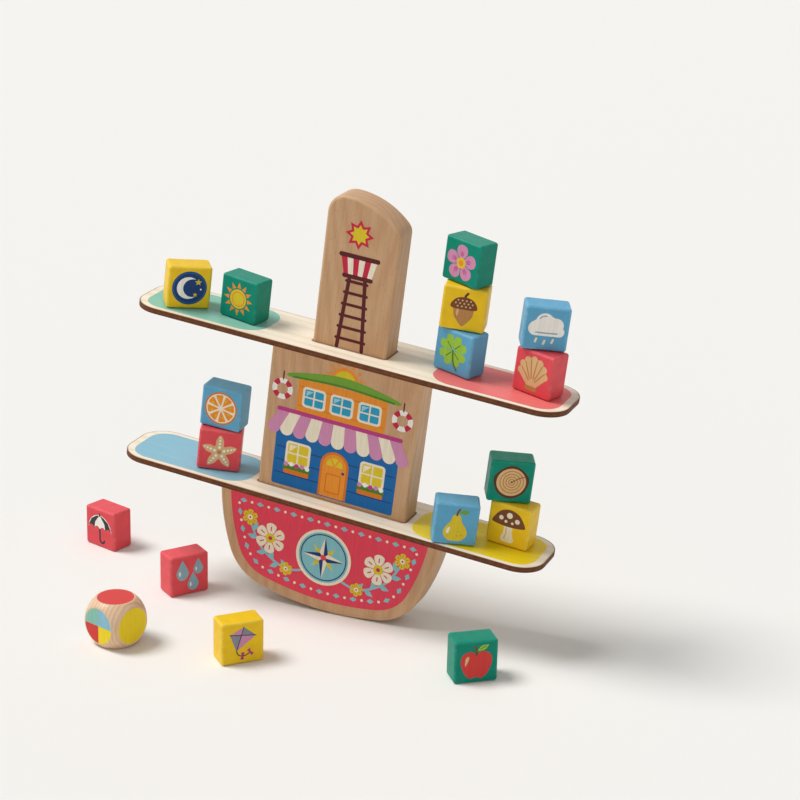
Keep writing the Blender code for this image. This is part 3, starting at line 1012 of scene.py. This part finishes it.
def draw_hull(sheet):
    """A coral field with a compass medallion, a flower spray each side and a beaded border."""
    border = 7.0
    top = 60.5
    bead_line = 12.2
    bead_top = 55.6
    bead_count = 26
    diamond = [(-2.3, 0), (0, -1.5), (2.3, 0), (0, 1.5)]
    right = below(hull_side(border), top)
    sheet.add("coral", 0, right + on_side(-1, right[::-1]))
    rim = [(0, bead_line)] + below(hull_side(bead_line), bead_top) + [(0, bead_top)]
    for i, (x, y, turn) in enumerate(even_steps(rim, bead_count)):
        bead = circle(x, y, 0.85, 16) if i % 2 else moved(diamond, x, y, turn)
        for side in (-1, 1) if 0 < i < bead_count else (1,):
            sheet.add("cream" if i % 2 else "sky", 1, on_side(side, bead))
    draw_compass(sheet, 0, 34.2, 17.4)
    for side in (-1, 1):
        draw_spray(sheet, side)


def draw_window(sheet, x, y, width, height, pane, gleam):
    """A pane in a cream frame, with glazing bars and a gleam."""
    left = x - width / 2 + 2.2
    head = y + height / 2 - 2.2
    sheet.add("cream", 2, rounded_box(x, y, width, height, 2.2))
    sheet.add(pane, 3, rounded_box(x, y, width - 2.8, height - 2.8, 1.2))
    sheet.add(gleam, 4, [(left, y + 0.6), (left, head), (x - 0.6, head)])
    sheet.add("cream", 5, ribbon([(x, y - height / 2 + 1), (x, y + height / 2 - 1)], 0.9))
    sheet.add("cream", 6, ribbon([(x - width / 2 + 1, y), (x + width / 2 - 1, y)], 0.9))


def draw_life_ring(sheet, x, y, size):
    hole = size * 0.52
    sheet.add("white", 0, circle(x, y, size), circle(x, y, hole))
    sheet.add_round("crimson", 1, slice_of(0, 0, hole, size, 25, 65), 4, x, y)
    sheet.add("maroon", 1, ribbon([(x, y + size - 0.6), (x, y + size + 4.2)], 0.8))


def draw_door(sheet, floor, spring):
    """A round-topped door with a fanlight. Spring is the height where its arch begins."""
    panel = floor + 8.6
    for layer, half, ink_name in ((2, 8.8, "deep_orange"), (3, 7.3, "orange")):
        sheet.add(ink_name, layer, [(-half, floor), (half, floor)] + bow(0, spring, half, 0, 180, 20))
    sheet.add("lemon", 4, bow(0, spring, 5.2, 0, 180, 16))
    for layer, turn in ((5, -30), (6, 30)):
        sheet.add("orange", layer, moved(ribbon([(0, 0.5), (0, 5.4)], 0.8), 0, spring, turn))
    panel_frame = rounded_box(0, panel, 9.6, 12.0, 1.2)
    sheet.add("deep_orange", 4, panel_frame, rounded_box(0, panel, 8.2, 10.6, 0.8))
    sheet.add("navy", 4, circle(5.6, floor + 16.4, 0.9, 18))


def draw_flower_box(sheet, x, y, width):
    sheet.add("moss", 7, rounded_box(x, y + 2.6, width, 2.8, 1.2))
    for i in range(5):
        bloom = ("rose", "white", "magenta")[i % 3]
        sheet.add(bloom, 8, circle(x + (i - 2) * width / 5.2, y + 4.3 + 0.5 * (i % 2), 1.4, 18))
    sheet.add("deep_orange", 8, rounded_box(x, y, width - 1.6, 2.8, 0.8))


def draw_stripes(sheet, layer, ink_name, count, foot, foot_half, head, head_half, scalloped=False):
    """Upright stripes between two level lines, of an ink and cream by turns. Their feet may be scallops."""
    radius = foot_half / count
    for i in range(count):
        left = 2 * i / count - 1
        right = 2 * (i + 1) / count - 1
        feet = [(left * foot_half, foot), (right * foot_half, foot)]
        if scalloped:
            feet = bow((left + right) / 2 * foot_half, foot + radius * 0.6, radius, 180, 360, 12)
        stripe = feet + [(right * head_half, head), (left * head_half, head)]
        sheet.add("cream" if i % 2 else ink_name, layer + i % 2, stripe)


def draw_wheelhouse(sheet):
    """A blue wheelhouse with a door, an awning, an orange upper floor and a rising sun."""
    floor = 72.0
    wall_top = 106.0
    eaves = 118.5
    upper_floor = 129.0
    sun = 144.0
    sheet.add("marine", 0, rounded_box(0, (floor + wall_top) / 2, 76, wall_top - floor, 1.5))
    sheet.add("orange", 0, rounded_box(0, upper_floor, 55, 22, 1.5))
    boards = (("navy", 36.5, 0.6, (79.5, 87.5, 95.5)), ("deep_orange", 26.6, 0.5, (123.2, 134.8)))
    for ink_name, half, width, levels in boards:
        for level in levels:
            sheet.add(ink_name, 1, ribbon([(-half, level), (half, level)], width))
    draw_door(sheet, floor + 0.6, 92.0)
    for side in (-1, 1):
        draw_window(sheet, side * 23.2, 93.0, 15.6, 14.6, "lemon", "cream")
        draw_flower_box(sheet, side * 23.2, 81.4, 17.4)
        draw_life_ring(sheet, side * 37.2, 130.5, 6.4)
    draw_stripes(sheet, 6, "rose", 11, foot=104.5, foot_half=44.0, head=eaves, head_half=37.5,
                 scalloped=True)
    sheet.add("magenta", 8, rounded_box(0, eaves, 78.0, 2.4, 1.1))
    for x in (-17.2, 0, 17.2):
        draw_window(sheet, x, upper_floor + 0.2, 14.4, 12.4, "cyan", "pale_cyan")
    roof = [(-32, 138.8), (-31, 141.8), (0, 146.6), (31, 141.8), (32, 138.8), (0, 140.4)]
    sheet.add("grass", 2, soft(roof, 10))
    sheet.add("moss", 3, ribbon(trail([(-31, 139.4), (0, 141.2), (31, 139.4)]), 1.0))
    for i in range(7):
        sheet.add("orange", 0, moved([(9.6, -1.2), (13.4, 0), (9.6, 1.2)], 0, sun, 15 + 25 * i))
    sheet.add("orange", 0, bow(0, sun, 8.6, 2, 178, 24))
    sheet.add("lemon", 1, bow(0, sun, 6.6, 4, 176, 24))


def draw_mast(sheet):
    """A ladder up to a striped crow's nest, and a star."""
    foot = 164.5
    nest = 207.0
    for side in (-1, 1):
        sheet.add("maroon", 0, ribbon([(side * 7.6, foot), (side * 4.6, nest)], 2.2))
    for i in range(6):
        level = foot + 5.0 + 6.8 * i
        reach = 9.0 - 3.0 * (level - foot) / (nest - foot)
        sheet.add("maroon", 1, ribbon([(-reach, level), (reach, level)], 1.7))
    draw_stripes(sheet, 2, "crimson", 6, foot=nest - 1, foot_half=8.2, head=nest + 11, head_half=11)
    sheet.add("maroon", 4, rounded_box(0, nest + 11.2, 24.6, 2.6, 1.2))
    sheet.add("maroon", 4, rounded_box(0, nest - 0.6, 18.4, 2.4, 1.1))
    sheet.add("crimson", 0, star(-1.6, 231.0, 8.6, 5.4, 8))
    sheet.add("lemon", 1, star(-1.6, 231.0, 5.8, 3.7, 8))


def make_prints(place):
    prints = {"hull_print": draw_hull, "wheelhouse_print": draw_wheelhouse, "mast_print": draw_mast}
    for name, draw in prints.items():
        sheet = PrintSheet()
        draw(sheet)
        sheet.finish(name, lay_on_front(BOARD_THICKNESS), place, "board", "oiled_beech")


# Floor, light and camera, in metres

FLOOR_SIZE = 14.0
FLOOR_DROP = 0.0001
FLOOR_COLOUR = "#f2f0ec"
WORLD_STRENGTH = 0.33
CAMERA_AZIMUTH = radians(22.0)
CAMERA_ELEVATION = radians(19.74)
CAMERA_ROLL = radians(1.5)
CAMERA_DISTANCE = 1.3
CAMERA_TARGET = (0.0276, 0.0, 0.1356)
FOCAL_PIXELS = 2317.0
IMAGE_PIXELS = 800.0


def make_floor():
    solid = bmesh.new()
    bmesh.ops.create_grid(solid, x_segments=1, y_segments=1, size=FLOOR_SIZE / 2)
    mesh = bpy.data.meshes.new("floor")
    solid.to_mesh(mesh)
    solid.free()
    matt = Surface("matt_studio_floor", {"Base Color": linear(FLOOR_COLOUR), "Roughness": 0.8})
    mesh.materials.append(matt.material)
    floor = add_object("floor", mesh)
    floor.location.z = -FLOOR_DROP


def make_light(name, direction, softness, brightness):
    """A wide lamp far away. Brightness is what it gives a white surface that faces it."""
    data = bpy.data.lights.new(name, "SUN")
    data.angle = radians(softness)
    data.energy = brightness * pi
    lamp = add_object(name, data)
    lamp.rotation_euler = Vector(direction).to_track_quat("Z", "Y").to_euler()


def make_world():
    """Even white light from all round; what the camera sees past the floor is plain white."""
    world = bpy.data.worlds.new("studio")
    world.use_nodes = True
    tree = world.node_tree
    background = tree.nodes["Background"]
    background.inputs["Color"].default_value = (1.0, 1.0, 1.0, 1.0)
    rays = add_node(tree, "LightPath")
    shown = rays.outputs["Is Camera Ray"]
    for ray in ("Is Glossy Ray", "Is Transmission Ray"):
        either = add_node(tree, "Math", {0: shown, 1: rays.outputs[ray]}, operation="MAXIMUM")
        shown = either.outputs[0]
    strength = add_node(tree, "MapRange", {"Value": shown, "To Min": WORLD_STRENGTH})
    tree.links.new(strength.outputs[0], background.inputs["Strength"])
    bpy.context.scene.world = world


def make_camera():
    """A camera that looks along +Y at azimuth 0, down by its elevation, and rolls about its own axis."""
    data = bpy.data.cameras.new("camera")
    data.lens = FOCAL_PIXELS / IMAGE_PIXELS * data.sensor_width
    camera = add_object("camera", data)
    turn = Matrix.Rotation(CAMERA_AZIMUTH, 4, "Z") @ Matrix.Rotation(pi / 2 - CAMERA_ELEVATION, 4, "X")
    turn @= Matrix.Rotation(CAMERA_ROLL, 4, "Z")
    step_back = Matrix.Translation((0, 0, CAMERA_DISTANCE))
    camera.matrix_world = Matrix.Translation(CAMERA_TARGET) @ turn @ step_back
    bpy.context.scene.camera = camera


def main():
    places = boat_places()
    make_board(places["board"])
    make_prints(places["board"])
    plywood = [make_birch(), make_burnt_edge()]
    make_deck("lower_deck", CABIN_WIDTH, places["lower_deck"], plywood)
    make_deck("upper_deck", MAST_WIDTH, places["upper_deck"], plywood)
    make_pads("lower_deck", places["lower_deck"], "pad_blue", "pad_yellow")
    make_pads("upper_deck", places["upper_deck"], "sage", "pad_coral")
    make_blocks()
    make_die()
    make_floor()
    make_world()
    make_light("key", (-0.52, -0.13, 0.86), softness=26.0, brightness=0.76)
    make_light("fill", (0.35, -0.80, 0.48), softness=60.0, brightness=0.07)
    make_camera()
    bpy.context.scene.view_settings.view_transform = "Standard"


main()
